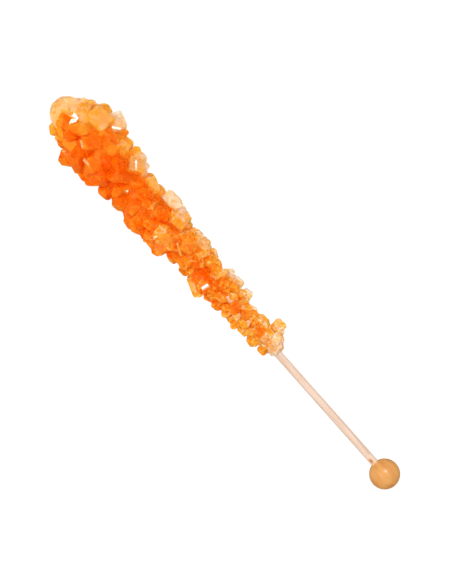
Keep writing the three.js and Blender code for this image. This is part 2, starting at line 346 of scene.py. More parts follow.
# %% The crystals that stand out
# Along, distance of the outer end from the dowel, turn about the stick, width, lean towards the tip, and how
# deep the crystal's dye is.
STANDING_CRYSTALS = [
    # the -Y side, from the neck to the tip; its pale dyes paint the light that falls on this side
    (54.2, 5.0, 90, 3.8, -20, 0.12), (57.2, 6.7, 92, 3.4, 0, 0.14), (59.0, 8.2, 90, 3.6, 5, 0.40),
    (63.4, 5.1, 88, 3.2, 0, 0.50), (73.2, 7.1, 92, 3.0, 20, 0.24), (78.0, 7.3, 88, 3.6, 10, 0.22),
    (81.8, 7.6, 92, 3.0, 0, 0.20), (86.6, 5.8, 86, 3.2, 0, 0.40), (91.0, 7.5, 90, 3.6, 5, 0.42),
    (94.6, 8.0, 92, 3.8, 0, 0.34), (98.2, 7.8, 88, 3.6, 0, 0.42), (104.6, 8.9, 88, 4.8, 0, 0.45),
    (112.4, 9.6, 94, 5.6, 0, 0.60), (117.4, 6.3, 92, 3.8, 20, 0.48), (121.2, 8.5, 90, 4.4, 10, 0.50),
    (126.4, 9.5, 88, 4.0, 10, 0.15), (131.4, 10.9, 92, 4.4, 0, 0.45), (138.6, 11.7, 88, 4.0, 0, 0.80),
    (141.8, 11.5, 104, 5.4, -5, 0.00), (146.8, 12.5, 96, 5.2, 5, 0.55), (152.4, 9.9, 90, 4.6, 30, 0.35),
    (155.2, 7.8, 90, 4.4, 45, 0.25), (156.4, 3.6, 100, 4.2, 60, 0.20),
    # the +Y side, from the neck to the tip; its deep dyes paint the shade on this side
    (56.2, 4.4, -90, 3.0, -10, 0.80), (61.0, 5.3, -88, 3.6, 0, 0.76), (65.2, 4.8, -90, 3.8, 0, 0.66),
    (68.4, 6.0, -92, 4.0, 0, 0.76), (73.0, 5.8, -88, 3.8, 0, 0.68), (77.0, 6.1, -90, 4.4, 0, 0.74),
    (82.2, 6.8, -78, 4.2, -60, 0.60), (88.0, 6.4, -90, 3.6, 0, 0.95), (92.4, 6.4, -90, 3.6, 0, 0.90),
    (98.4, 6.3, -88, 4.4, 0, 0.80), (103.0, 8.8, -92, 5.2, 0, 0.80), (107.8, 8.7, -86, 4.6, 0, 0.80),
    (111.6, 8.7, -92, 4.2, 0, 0.85), (115.4, 9.5, -90, 5.0, 0, 0.90), (122.2, 8.6, -88, 5.4, 0, 0.82),
    (128.0, 9.0, -90, 5.4, 0, 0.80), (133.4, 10.4, -92, 7.0, 0, 0.84), (138.0, 9.4, -88, 4.6, 0, 0.92),
    (144.8, 9.4, -88, 4.4, 10, 1.00), (149.4, 8.3, -90, 4.4, 15, 0.90), (154.6, 7.5, -88, 4.4, 35, 0.60),
    (156.8, 2.8, -88, 4.6, 60, 0.25), (158.6, 0.9, 90, 5.0, 88, 0.10),
    # big ones that show from above
    (82.0, 7.2, -38, 4.6, -60, 0.90), (97.0, 8.6, 18, 5.2, -30, 0.70), (107.0, 9.4, -22, 5.4, 40, 0.75),
    (117.0, 9.6, 12, 5.2, -35, 0.95), (125.6, 9.4, -34, 5.0, 20, 0.95), (133.0, 11.4, 14, 5.6, 30, 1.00),
    (141.0, 10.9, 34, 5.6, 10, 0.90), (149.0, 9.0, -30, 5.0, 20, 0.95),
    # the two that the head lies on
    (129.0, 11.1, 165, 5.0, 0, 1.00), (142.0, 11.9, 197, 5.4, 0, 1.00),
    # small ones on the +Y side that fill the outline between two others
    (71.0, 5.3, -90, 3.2, 0, 0.85), (105.8, 8.2, -90, 3.6, 0, 0.80), (136.6, 10.2, -90, 4.6, 0, 0.85),
]
print(len(STANDING_CRYSTALS), "crystals stand out")

# %% The crystals with a shape of their own
# The middle of the ridge, the way it grows, its spin, width, thickness, length, roof and ridge share, the
# dye of its faces and of its edges, and how round its edges are.
SHAPED_CRYSTALS = [
    ((105.2, -5.6, 6.4), (0, -0.4, 1), 8, 5.0, 5.6, 6, 0.5, 0.7, 0.50, 0.35, 0.16),
    ((111.4, -7.4, 4.8), (0, -0.2, 1), 2, 6.6, 3.8, 6, 0.4, 0.8, 0.00, 0.16, 0.12),
    ((119.0, -6.4, 5.0), (0, -0.5, 1), -24, 6.0, 3.4, 6, 0.5, 0.6, 0.50, 0.35, 0.16),
    ((127.6, -6.9, 6.8), (0.1, -0.5, 1), 35, 5.2, 4.8, 7, 0.8, 0.8, 0.50, 0.34, 0.14),
    ((142.3, -11.2, 4.4), (0.1, -0.3, 1), -20, 6.0, 5.4, 7, 0.8, 0.6, 0.14, 0.10, 0.16),
    ((146.4, -7.7, 7.8), (0.2, -0.4, 1), 6, 7.4, 6.6, 8, 0.6, 0.8, 0.48, 0.44, 0.14),
    ((152.4, -5.4, 6.2), (0.5, -0.45, 1), 34, 5.2, 5.0, 7, 0.6, 0.7, 0.46, 0.32, 0.18),
    ((153.6, 1.9, 7.2), (0.45, 0.1, 1), 20, 4.6, 4.4, 6, 0.8, 0.7, 1.00, 0.80, 0.30),
    ((161.1, -0.5, -0.3), (1, 0, 0), 90, 11.4, 9.0, 9, 4.6, 0.34, 0.45, 0.32, 0.22),
    ((144.3, 11.8, 1.6), (0.1, 1, 0.2), 0, 5.8, 4.2, 7, 2.6, 0.33, 1.00, 0.70, 0.04),
]
print(len(SHAPED_CRYSTALS), "crystals have a shape of their own")

# %% A repeatable row of random numbers
SEED = 20
WORD = 0xFFFFFFFF
NEXT_STATE = 0x6D2B79F5
SHIFTS = (15, 7, 14)
BITS_SET = (1, 61)  # before each product


def random_source(seed):
    """A function that gives the next number between 0 and 1 each time it is called."""
    state = seed
    shift, next_shift, last_shift = SHIFTS
    bits, next_bits = BITS_SET

    def draw():
        nonlocal state
        state = (state + NEXT_STATE) & WORD
        stirred = ((state ^ (state >> shift)) * (state | bits)) & WORD
        stirred ^= (stirred + (stirred ^ (stirred >> next_shift)) * (stirred | next_bits)) & WORD
        return (stirred ^ (stirred >> last_shift)) / (WORD + 1)

    return draw


def mix(a, b, share):
    """The value that lies a share of the way from a to b."""
    return a + (b - a) * share


print("the first draw is", round(random_source(SEED)(), 4))

# %% Walk along the core


def core_at(run):
    """The place on the core's outline after a run along it, as along, radius, aside, forward and outward."""
    left = run
    for (along, radius, aside), (next_along, next_radius, next_aside) in zip(CORE, CORE[1:]):
        step = Vector((next_along - along, next_radius - radius))
        if left <= step.length:
            share = left / step.length
            forward, outward = step.normalized()
            return (along + step.x * share, radius + step.y * share, mix(aside, next_aside, share),
                    forward, outward)
        left -= step.length
    return None


# %% [markdown]
# ## One crystal
# Grown slowly, sugar makes slanted blocks: four sides and a low roof of two slopes. Its edges are never
# razor sharp, as the syrup rounds them. We could bevel the whole club at the end, but a bevel fails where
# many crystals cross. So each block gets its own bevel first, while it is still a simple shape.

# %% Build one block
CRYSTAL_SHARES = (  # the least and the most of width, thickness, length, roof and slant
    (0.8, 1.15), (0.6, 0.95), (1.5, 1.9), (0.15, 0.5), (-0.2, 0.2),
)
RIDGE_SHARE = 0.8
BLOCK_FACES = (  # 0 to 3 the roof's corners, 4 to 7 the hidden end, 8 and 9 the ridge
    (0, 1, 9, 8), (2, 3, 8, 9), (1, 2, 9), (3, 0, 8),
    (0, 4, 5, 1), (1, 5, 6, 2), (2, 6, 7, 3), (3, 7, 4, 0), (7, 6, 5, 4),
)
OUTER_CORNERS = slice(0, 4)
HIDDEN_CORNERS = slice(4, 8)


def block_points(width, thickness, length, roof, slant, ridge_share=RIDGE_SHARE):
    """The ten corners of a crystal whose length runs along Z, with its outer end at zero."""
    w, t = width / 2, thickness / 2
    corners = ((-w, -t), (w, -t), (w + slant, t), (-w + slant, t))
    points = [Vector((x, y, -roof)) for x, y in corners]
    points += [Vector((x, y, -length)) for x, y in corners]
    points += [Vector((side * w * ridge_share + slant / 2, 0, 0)) for side in (-1, 1)]
    return points


def crystal(tip, outward, size, draw, lean):
    """A crystal's corners and size. Its outer end is at tip, and it grows outward, but leans at random."""
    shares = [mix(least, most, draw()) for least, most in CRYSTAL_SHARES]
    spin = draw() * 2 * math.pi
    towards = draw() * 2 * math.pi
    lean_by = lean * math.sqrt(draw())
    turn = (SKY.rotation_difference(outward)
            @ Quaternion((math.cos(towards), math.sin(towards), 0), lean_by)
            @ Quaternion(SKY, spin))
    return [turn @ point + tip for point in block_points(*(size * share for share in shares))], size


# %% [markdown]
# ## All the crystals
# First come the ones that stand out, one by one from the two lists. The others cover the core as seeds
# cover a cone: up a spiral that turns by the golden angle each time, so that no two stand in line. They
# are small at the neck, where the sugar is thin, large in the head, and smaller again at the tip. Where
# one would grow into a crystal with a shape of its own, it is left out.

# %% Grow the crystals of the lists
STANDING_LEAN = 0.25
ROOM_SHARE = 0.25


def standing_crystals():
    """The crystals that stand out. Each has random numbers of its own."""
    made = []
    for number, (along, out, turn_degrees, size, lean_degrees, _) in enumerate(STANDING_CRYSTALS, 1):
        turn, lean = math.radians(turn_degrees), math.radians(lean_degrees)
        radial = Vector((0, -math.sin(turn), math.cos(turn)))
        outward = radial * math.cos(lean) + Vector((math.sin(lean), 0, 0))
        tip = radial * out + Vector((along, 0, 0))
        made.append(crystal(tip, outward, size, random_source(number), STANDING_LEAN))
    return made


def shaped_crystals():
    """The crystals with a shape of their own. They have nothing random."""
    made = []
    for middle, grows, spin, width, thickness, length, roof, ridge_share, *_ in SHAPED_CRYSTALS:
        turn = SKY.rotation_difference(Vector(grows)) @ Quaternion(SKY, math.radians(spin))
        points = block_points(width, thickness, length, roof, 0.0, ridge_share)
        made.append(([turn @ point + Vector(middle) for point in points], min(width, thickness)))
    return made


def in_room_of_shaped(tip):
    """Whether a crystal's outer end falls within the room that a shaped crystal has taken."""
    return any((tip - Vector(middle)).length < ROOM_SHARE * (width + thickness)
               for middle, _, _, width, thickness, *_ in SHAPED_CRYSTALS)


standing = standing_crystals()
shaped = shaped_crystals()
print(len(standing), "standing crystals and", len(shaped), "shaped ones have grown")

# %% Grow the crystals of the spiral
NECK_CRYSTAL = 3.0
HEAD_CRYSTAL = 6.2
COARSER = (60.0, 138.0)  # where along the stick the crystals grow from small to large
FINER = (148.0, 157.0)  # and where they shrink again
TIP_SHARE = 0.65
SPACING = 0.95
FIRST_RUN = 0.6
SIZE_SHARES = (0.8, 1.2)
STAND_SHARES = (0.2, 0.5)
FOOT_SHARE = 0.3
LEAST_ROOM_RADIUS = 1.5
TURN_JITTER = 0.25
SPREAD_LEAN = 0.8
GOLDEN_ANGLE = math.pi * (3 - math.sqrt(5))


def smoothstep(low, high, value):
    """A soft step from 0 to 1 between two places."""
    share = min(max((value - low) / (high - low), 0), 1)
    return share * share * (3 - 2 * share)


def spread_crystals(draw):
    """The crystals of the spiral, from the neck to the tip."""
    made = []
    run, around = FIRST_RUN, 0.0
    place = core_at(run)
    while place:
        along, radius, aside, forward, outward_share = place
        finer = mix(1.0, TIP_SHARE, smoothstep(*FINER, along))
        usual_size = mix(NECK_CRYSTAL, HEAD_CRYSTAL, smoothstep(*COARSER, along)) * finer
        size = usual_size * mix(*SIZE_SHARES, draw())
        turn = around + mix(-TURN_JITTER, TURN_JITTER, draw())
        stand = size * mix(*STAND_SHARES, draw())
        outward = Vector((-outward_share, forward * math.cos(turn), forward * math.sin(turn)))
        foot = Vector((along, radius * math.cos(turn) - aside, radius * math.sin(turn)))
        tip = foot + outward * stand
        one = crystal(tip, outward, size, draw, SPREAD_LEAN)
        if not in_room_of_shaped(tip):
            made.append(one)
        girth = 2 * math.pi * max(radius + FOOT_SHARE * size, LEAST_ROOM_RADIUS)
        run += (SPACING * size) ** 2 / girth
        around += GOLDEN_ANGLE
        place = core_at(run)
    return made


spread = spread_crystals(random_source(SEED))
print(len(spread), "crystals grow on the spiral")

# %% [markdown]
# ## How deep the dye is
# The syrup's orange isn't the same in every crystal. The ones at the collar and at the tip grew last and
# stayed pale, while the body is deep orange. Many crystals on the -Y side are made paler and those on the +Y
# side deeper: that is painted light on the side where the light falls, and painted shade on the other. Each
# crystal takes one value, from 0 for clear to 1 for deep, and its rounded edges take one of their own,
# because a thin edge often looks paler than the block. The values are stored on the faces, and the union
# carries them along to the finished skin.

# %% The dye of the spiral's crystals
DYE_ALONG = (  # along, and the usual dye there
    (53.0, 0.14), (57.0, 0.32), (61.0, 0.62), (72.0, 0.70), (100.0, 0.80), (118.0, 0.92),
    (140.0, 0.96), (146.0, 0.70), (153.0, 0.42), (161.0, 0.34),
)
# Towards -Y the dye is made paler: painted light on the side that the light falls on.
PAINTED_LIT_SIDE = (1.5, 7.5)  # towards -Y
PAINTED_LIT_SIDE_SHARE = 0.35
EVENER = (70.0, 120.0)  # where along the stick the crystals grow more alike
UNLIKE_AT_NECK = 0.22
UNLIKE_AT_HEAD = 0.08


def usual_dye(along):
    """The dye of the body at a place along the stick."""
    for (start, dye), (end, next_dye) in zip(DYE_ALONG, DYE_ALONG[1:]):
        if along <= end:
            return mix(dye, next_dye, max(along - start, 0) / (end - start))
    return DYE_ALONG[-1][1]


def spread_dye(points, draw):
    """How deep the dye of a crystal of the spiral is, from the middle of its outer end. Towards -Y it is
    made paler, which is painted light.
    """
    outer = points[OUTER_CORNERS]
    end = sum(outer, Vector()) / len(outer)
    dye = usual_dye(end.x) * mix(1.0, PAINTED_LIT_SIDE_SHARE, smoothstep(*PAINTED_LIT_SIDE, -end.y))
    unlike = mix(UNLIKE_AT_NECK, UNLIKE_AT_HEAD, smoothstep(*EVENER, end.x))
    return min(max(dye + mix(-unlike, unlike, draw()), 0.0), 1.0)


print("the body's usual dye is", max(dye for _, dye in DYE_ALONG), "at its deepest")

# %% Give each crystal its dye
BEVEL_SHARE = 0.15
DYE_SEED = 11
EDGE_SEED = 12
PALEST_EDGE = 0.55  # as a share of the crystal's own dye
PALEST_DEEP_EDGE = 0.85
DEEPEST_EDGE = 1.25


def edge_dye(dye, draw):
    """The dye of a crystal's edges. It varies less where the crystal itself is deep."""
    return dye * mix(mix(PALEST_EDGE, PALEST_DEEP_EDGE, dye), DEEPEST_EDGE, draw())


def dyed_crystals():
    """All crystals, each with its corners, its bevel, and the dye of its faces and its edges."""
    dye_draw = random_source(DYE_SEED)
    edge_draw = random_source(EDGE_SEED)
    made = []
    for (points, size), (*_, dye) in zip(standing, STANDING_CRYSTALS):
        made.append((points, size * BEVEL_SHARE, dye, edge_dye(dye, edge_draw)))
    for (points, size), (*_, dye, edge, roundness) in zip(shaped, SHAPED_CRYSTALS):
        made.append((points, size * roundness, dye, edge))
    for points, size in spread:
        dye = spread_dye(points, dye_draw)
        made.append((points, size * BEVEL_SHARE, dye, edge_dye(dye, edge_draw)))
    return made


crystals = dyed_crystals()
print("the mean dye is", round(sum(dye for _, _, dye, _ in crystals) / len(crystals), 2))

# %% [markdown]
# ## Growing them together
# Light has to pass from one crystal into the next without meeting a wall, so the club must be one closed
# skin. A Boolean union does that. The manifold solver joins hundreds of blocks in seconds, where the
# exact one would take minutes. Each block becomes an object of a helper collection, and one modifier
# joins the whole collection.

# %% Make the blocks as objects
BEVEL_SEGMENTS = 3
ROUND_PROFILE = 0.5


def mesh_object(name, bm):
    """A new object from a bmesh."""
    mesh = bpy.data.meshes.new(name)
    bm.to_mesh(mesh)
    bm.free()
    made = bpy.data.objects.new(name, mesh)
    bpy.context.scene.collection.objects.link(made)
    return made


def crystal_object(points, bevel, dye, edge):
    """A bevelled crystal in stick millimetres, with the dye on its faces."""
    bm = bmesh.new()
    dyed = bm.faces.layers.float.new("dye")
    corners = [bm.verts.new(point) for point in points]
    for face in BLOCK_FACES:
        bm.faces.new([corners[i] for i in face])
    hidden_end = set(corners[HIDDEN_CORNERS])
    edges = [one for one in bm.edges if not set(one.verts) <= hidden_end]
    rounded = bmesh.ops.bevel(bm, geom=edges, offset=bevel, offset_type="OFFSET", segments=BEVEL_SEGMENTS,
                              profile=ROUND_PROFILE, affect="EDGES", clamp_overlap=True)
    for face in bm.faces:
        face[dyed] = dye
    for face in rounded["faces"]:
        face[dyed] = edge
    bmesh.ops.triangulate(bm, faces=bm.faces)
    bmesh.ops.recalc_face_normals(bm, faces=bm.faces)
    return mesh_object("crystal", bm)


def store_on_faces(piece, name, number):
    """Stores one number on all faces of a piece."""
    for on_face in piece.data.attributes.new(name, "FLOAT", "FACE").data:
        on_face.value = number


# %% Turn round shapes on a small lathe


def ring_points(bm, along, radius, aside, sides):
    """One ring of an outline, which is a single point where the radius is zero."""
    if radius == 0:
        return [bm.verts.new((along, -aside, 0))] * sides
    angles = (2 * math.pi * i / sides for i in range(sides))
    return [bm.verts.new((along, radius * math.cos(a) - aside, radius * math.sin(a))) for a in angles]


def turned(name, outline, sides):
    """A closed object from an outline of along, radius and aside, turned about the X axis."""
    bm = bmesh.new()
    rings = [ring_points(bm, *place, sides) for place in outline]
    for ring, next_ring in zip(rings, rings[1:]):
        for i in range(sides):
            j = (i + 1) % sides
            bm.faces.new(list(dict.fromkeys((ring[i], ring[j], next_ring[j], next_ring[i]))))
    bmesh.ops.recalc_face_normals(bm, faces=bm.faces)
    return mesh_object(name, bm)


# %% Join and cut with one modifier


def apply_modifiers(piece):
    """Turns what the modifiers show into the piece's own mesh."""
    seen = piece.evaluated_get(bpy.context.evaluated_depsgraph_get())
    mesh = bpy.data.meshes.new_from_object(seen)
    old = piece.data
    piece.modifiers.clear()
    piece.data = mesh
    bpy.data.meshes.remove(old)


def combine(piece, others, operation):
    """Joins the other objects to a piece, or cuts them away from it, and removes them."""
    helpers = bpy.data.collections.new("helpers")
    bpy.context.scene.collection.children.link(helpers)
    for other in others:
        bpy.context.scene.collection.objects.unlink(other)
        helpers.objects.link(other)
    change = piece.modifiers.new("combine", "BOOLEAN")
    change.operation = operation
    change.solver = "MANIFOLD"
    change.operand_type = "COLLECTION"
    change.collection = helpers
    apply_modifiers(piece)
    for other in others:
        mesh = other.data
        bpy.data.objects.remove(other)
        bpy.data.meshes.remove(mesh)
    bpy.data.collections.remove(helpers)


# %% Grow the club
CORE_SIDES = 32
CORE_SHRINK = 0.2
CORE_DYE = 1.0
SKIRT = [  # the thin film where the sugar creeps down the dowel
    (52.0, 0.0, 0.0), (52.0, 1.31, 0.0), (52.3, 1.6, 0.1), (52.8, 1.95, 0.3), (53.4, 2.35, 0.6),
    (54.6, 2.75, 0.9), (56.5, 2.9, 1.1), (57.5, 0.0, 1.1),
]
SKIRT_DYE = 0.1


def grow_club():
    """The core, the skirt and all the crystals as one closed skin."""
    start, _, start_aside = CORE[0]
    core = [(start, 0.0, start_aside)]
    core += [(along, max(radius - CORE_SHRINK, 0.0), aside) for along, radius, aside in CORE]
    club = turned("sugar_club", core, CORE_SIDES)
    store_on_faces(club, "dye", CORE_DYE)
    skirt = turned("skirt", SKIRT, CORE_SIDES)
    store_on_faces(skirt, "dye", SKIRT_DYE)
    combine(club, [skirt] + [crystal_object(*one) for one in crystals], "UNION")
    return club


sugar = grow_club()
print("the club has", len(sugar.data.polygons), "faces")

# %% [markdown]
# ## Glints, and pale flakes as painted highlights
# A few facets on the real club mirror the lamp like a piece of glass, and small pale flakes lie on others. A
# random facet seldom faces the lamp, so each of these is a thin block let into the skin. A glint faces half
# way between the lamp and the eye, which is what makes a mirror flash. The flakes are turned well away from
# that and mirror no lamp, so their pale dye is a painted highlight, for small glints and bright edge lines.
# One flake is deep instead of pale. A ray from above finds the place on the skin, and no block stands more
# than half a millimetre proud.

# %% Let the flakes into the skin
GLINTS_AND_PAINTED_HIGHLIGHTS = [  # along, towards +Y, length, width, turn, dye, how far proud, and the lamp that it mirrors
    (84.0, 3.2, 2.6, 1.3, 80, 0.10, 0.30, "soft_box_top"),
    (151.2, -0.2, 3.0, 1.6, 70, 0.20, 0.30, "soft_box_top"),
    (151.6, -1.7, 2.4, 1.7, 10, 0.20, 0.30, "soft_box_top"),
    (127.4, -6.0, 3.4, 0.7, -42, 0.10, 0.25, "soft_box_top"),
    (140.4, -9.2, 3.0, 1.0, 38, 0.00, 0.30, "soft_box_top"),
    (123.3, 1.6, 1.1, 0.9, 20, 0.30, 0.30, "soft_box_top"),
    (106.2, 3.8, 2.6, 1.0, 75, 0.20, 0.30, "soft_box_top"),
    # From here on the flakes mirror no lamp: the dye of each pale one is a painted highlight.
    (106.6, 2.4, 2.6, 3.0, 10, 0.35, 0.20, None),
    (92.3, 0.5, 4.4, 0.5, 40, 0.35, 0.30, None),
    (98.3, 1.5, 4.4, 0.6, -24, 0.35, 0.30, None),
    (138.4, 5.0, 2.4, 0.8, 8, 0.20, 0.40, None),
    (143.6, 2.4, 2.6, 0.8, -25, 0.20, 0.40, None),
    (86.6, 1.4, 4.6, 3.6, -10, 1.30, 0.30, None),
    (66.2, 0.2, 1.2, 0.8, 30, 0.22, 0.15, None),
    (75.8, 0.2, 2.2, 1.0, -10, 0.18, 0.15, None),
    (62.0, -3.2, 1.4, 1.2, 20, 0.25, 0.15, None),
    (63.9, -2.5, 1.2, 1.0, -30, 0.25, 0.15, None),
    (55.6, 0.0, 1.6, 0.8, 0, 0.25, 0.15, None),
    (87.1, -4.4, 1.8, 1.0, 40, 0.22, 0.15, None),
    (86.4, 5.4, 1.6, 0.8, -20, 0.20, 0.15, None),
]
FLAKE_DEPTH = 2.5
FLAKE_ROOF = 0.01
FLAKE_SLANT = 0.1
FLAKE_BEVEL_SHARE = 0.12
DULL_WAY = Vector((-0.15, 0.15, 1.0))
HIGH_ABOVE = 50.0
POLISHED = 1.0


def flake_faces(lamp, place):
    """The way that a flake faces on the straight stick: it mirrors its lamp, or shows no lamp at all."""
    if lamp is None:
        return DULL_WAY.normalized()
    on_table = STICK @ place
    to_lamp = towards_lamp(lamp) * SOFT_BOX_DISTANCE - on_table
    to_lens = bpy.context.scene.camera.matrix_world.translation - on_table
    half_way = to_lamp.normalized() + to_lens.normalized()
    return (STICK.to_3x3().inverted() @ half_way).normalized()


def flake(club, along, aside, length, width, turn_degrees, dye, proud, lamp):
    """A thin block, let into the skin at a place seen from above."""
    _, place, _, _ = club.ray_cast(Vector((along, aside, HIGH_ABOVE)), -SKY)
    outward = flake_faces(lamp, place)
    turn = SKY.rotation_difference(outward) @ Quaternion(SKY, math.radians(turn_degrees))
    corners = block_points(length, width, FLAKE_DEPTH, FLAKE_ROOF, FLAKE_SLANT)
    points = [turn @ corner + place + outward * proud for corner in corners]
    # A flake that mirrors no lamp shows its dye only, and where that is pale it is a painted highlight.
    made = crystal_object(points, min(length, width) * FLAKE_BEVEL_SHARE, dye, dye)
    if lamp:
        store_on_faces(made, "polish", POLISHED)
    return made


combine(sugar, [flake(sugar, *one) for one in GLINTS_AND_PAINTED_HIGHLIGHTS], "UNION")
print(sum(one[-1] is not None for one in GLINTS_AND_PAINTED_HIGHLIGHTS), "of", len(GLINTS_AND_PAINTED_HIGHLIGHTS), "flakes mirror a lamp")

# %% [markdown]
# ## Bored and set on the table
# The dowel runs on inside the sugar almost to the tip. A lathe-turned tool bores the hole, a hair
# narrower than the dowel, so that no air shows between wood and sugar. A block whose top is the table
# trims the lowest crystals flat.

# %% Bore the club and set it on the table
TABLE_SIZE = 1.0
GRIP = 0.02  # how far sugar and ball reach into the wood
BORE_RADIUS = DOWEL_DIAMETER / 2 - GRIP
BORE_START = 40.0
BORE_SIDES = 48


def below_table():
    """A block whose top is the table."""
    bm = bmesh.new()
    bmesh.ops.create_cube(bm, size=TABLE_SIZE)
    bmesh.ops.translate(bm, verts=bm.verts, vec=(0, 0, -TABLE_SIZE / 2))
    return mesh_object("below the table", bm)


def rod_outline(start, end, radius):
    """The outline of a plain rod."""
    return [(start, 0.0, 0.0), (start, radius, 0.0), (end, radius, 0.0), (end, 0.0, 0.0)]


combine(sugar, [turned("bore", rod_outline(BORE_START, DOWEL_END, BORE_RADIUS), BORE_SIDES)], "DIFFERENCE")
sugar.data.transform(STICK)
combine(sugar, [below_table()], "DIFFERENCE")
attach(sugar, "root")
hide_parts("sugar_crystals")
print("the bored club has", len(sugar.data.polygons), "faces")

# %% [markdown]
# ## Melting the dye
# In the syrup the crystals melt into each other, and so do their colours. A value on a face jumps at the
# face's edge. A value on a point is shared by all the faces that meet there, and is blended across them.
# So each point takes the mean dye of the faces round it, and is then evened out with its neighbours a few
# times. The finish can use both: the jump for a border that still shows, and the blend for the rest.

# %% Melt the dye
MELT_ROUNDS = 4


def mean_at_points(how_many, pairs):
    """The mean of all the values that fall on each point, from pairs of a point's number and a value."""
    sums = [0.0] * how_many
    counts = [0] * how_many
    for point, value in pairs:
        sums[point] += value
        counts[point] += 1
    return [total / count for total, count in zip(sums, counts)]


def melt_dye(piece):
    """Stores the melted dye on the points of a piece."""
    mesh = piece.data
    dyes = mesh.attributes["dye"].data
    pairs = [(point, dyes[face.index].value) for face in mesh.polygons for point in face.vertices]
    means = mean_at_points(len(mesh.vertices), pairs)
    for _ in range(MELT_ROUNDS):
        pairs = list(enumerate(means))
        for edge in mesh.edges:
            first, second = edge.vertices
            pairs += [(first, means[second]), (second, means[first])]
        means = mean_at_points(len(means), pairs)
    melted = mesh.attributes.new("melted_dye", "FLOAT", "POINT")
    for on_point, mean in zip(melted.data, means):
        on_point.value = mean
    return means


melted_dyes = melt_dye(sugar)
print("the melted dye runs from", round(min(melted_dyes), 2), "to", round(max(melted_dyes), 2))

# %% [markdown]
# ## Flat facets with soft edges
# A facet of a real crystal is flat up to its edge, and only the narrow edge is round and catches the
# light. Smooth shading alone bends the light over the whole facet. Weighted normals let the large facets
# win over the thin bevels, and edges sharper than a limit stay sharp.

# %% Shade the facets
SHARP_ABOVE = math.radians(35)
LARGE_FACES_WIN = 80


def shade(piece, sharp_above):
    """Shades a piece smooth, apart from its sharp edges."""
    piece.data.shade_smooth()
    piece.data.set_sharp_from_angle(angle=sharp_above)


shade(sugar, SHARP_ABOVE)
weighted = sugar.modifiers.new("weighted", "WEIGHTED_NORMAL")
weighted.keep_sharp = True
weighted.weight = LARGE_FACES_WIN
apply_modifiers(sugar)
print("the club is one piece of", len(sugar.data.vertices), "points")

# %% [markdown]
# ## Dyed sugar
# Three things make the look of dyed sugar. Depth takes blue and green away from the light that goes
# through, which is volume absorption. Fine cracks and layers inside scatter the light, which is
# subsurface, so the body glows. And the skin shows each crystal's own dye. The refraction is set lower
# than the 1.5 of real sugar, because a wet, sticky skin and the crystals' crooked insides hide most of
# the bending that a perfect block would show.

# %% How the dye wanders inside a crystal
CLOUDS = (220.0, 3.0)  # waves in a metre, and the detail of the noise
CLOUD_STRENGTH = 0.35
BENDS = (300.0, 1.0)
BEND = 0.3 * MM
CELLS_PER_METRE = 260.0
CELL_STRENGTH = 0.24
MELTED_SHARE = 0.65


def crystal_dye(tree):
    """The dye of each crystal, for the most part melted into that of its neighbours."""
    own = stored(tree, "dye")
    away = maths(tree, "SUBTRACT", stored(tree, "melted_dye"), own)
    return maths(tree, "MULTIPLY_ADD", away, MELTED_SHARE, own)


def bend_place(tree, place):
    """The place, shifted a little by a noise, so that straight borders get crooked."""
    wander = noise(tree, place, *BENDS, output="Color")
    node = add_node(tree, "ShaderNodeVectorMath", {"operation": "MULTIPLY_ADD"})
    for socket, value in zip(node.inputs, (wander, (BEND, BEND, BEND), place)):
        plug(tree, socket, value)
    return node.outputs[0]


def centred(tree, value, strength):
    """A value between 0 and 1, brought to a strength and centred on zero."""
    return maths(tree, "MULTIPLY_ADD", value, strength, -strength / 2)


def wandering_dye(tree, place, crooked):
    """Soft clouds, and growth cells that are each a little deeper or paler."""
    clouds = centred(tree, noise(tree, place, *CLOUDS), CLOUD_STRENGTH)
    cells = add_node(tree, "ShaderNodeTexVoronoi", Vector=crooked, Scale=CELLS_PER_METRE).outputs["Color"]
    cells = add_node(tree, "ShaderNodeSeparateColor", Color=cells).outputs["Red"]
    return maths(tree, "ADD", clouds, centred(tree, cells, CELL_STRENGTH))


# %% Fine cracks and specks
CRACK = (0.0, 0.07)  # as a share of a cell, from its border
YES_OR_NO = (1.0, 0.0)
GAPS = (170.0, 1.0)
GAP_RANGE = (0.5, 0.65)
CRACK_PALER = -0.3
SPECKS = (900.0, 2.0)
PALE_SPECKS = (0.58, 0.68)
PALE_SPECK = -0.4
DEEP_SPECKS = (0.42, 0.32)
DEEP_SPECK = 0.35
SMOOTHER = (table_x(98.0), table_x(122.0))  # the large crystals of the head are clearer inside
SMOOTH_SHARE = (1.0, 0.2)


def cracks_and_specks(tree, place, crooked):
    """Pale cracks along the borders of the cells, broken here and there, and pale and deep specks."""
    border = add_node(tree, "ShaderNodeTexVoronoi", {"feature": "DISTANCE_TO_EDGE"}, Vector=crooked,
                      Scale=CELLS_PER_METRE).outputs["Distance"]
    crack = remap(tree, border, CRACK, YES_OR_NO)
    paler = remap(tree, noise(tree, place, *GAPS), GAP_RANGE, (0.0, CRACK_PALER))
    specks = noise(tree, place, *SPECKS)
    pale = remap(tree, specks, PALE_SPECKS, (0.0, PALE_SPECK))
    deep = remap(tree, specks, DEEP_SPECKS, (0.0, DEEP_SPECK))
    both = maths(tree, "MULTIPLY_ADD", crack, paler, maths(tree, "ADD", pale, deep))
    return maths(tree, "MULTIPLY", both, remap(tree, x_of(tree, place), SMOOTHER, SMOOTH_SHARE))


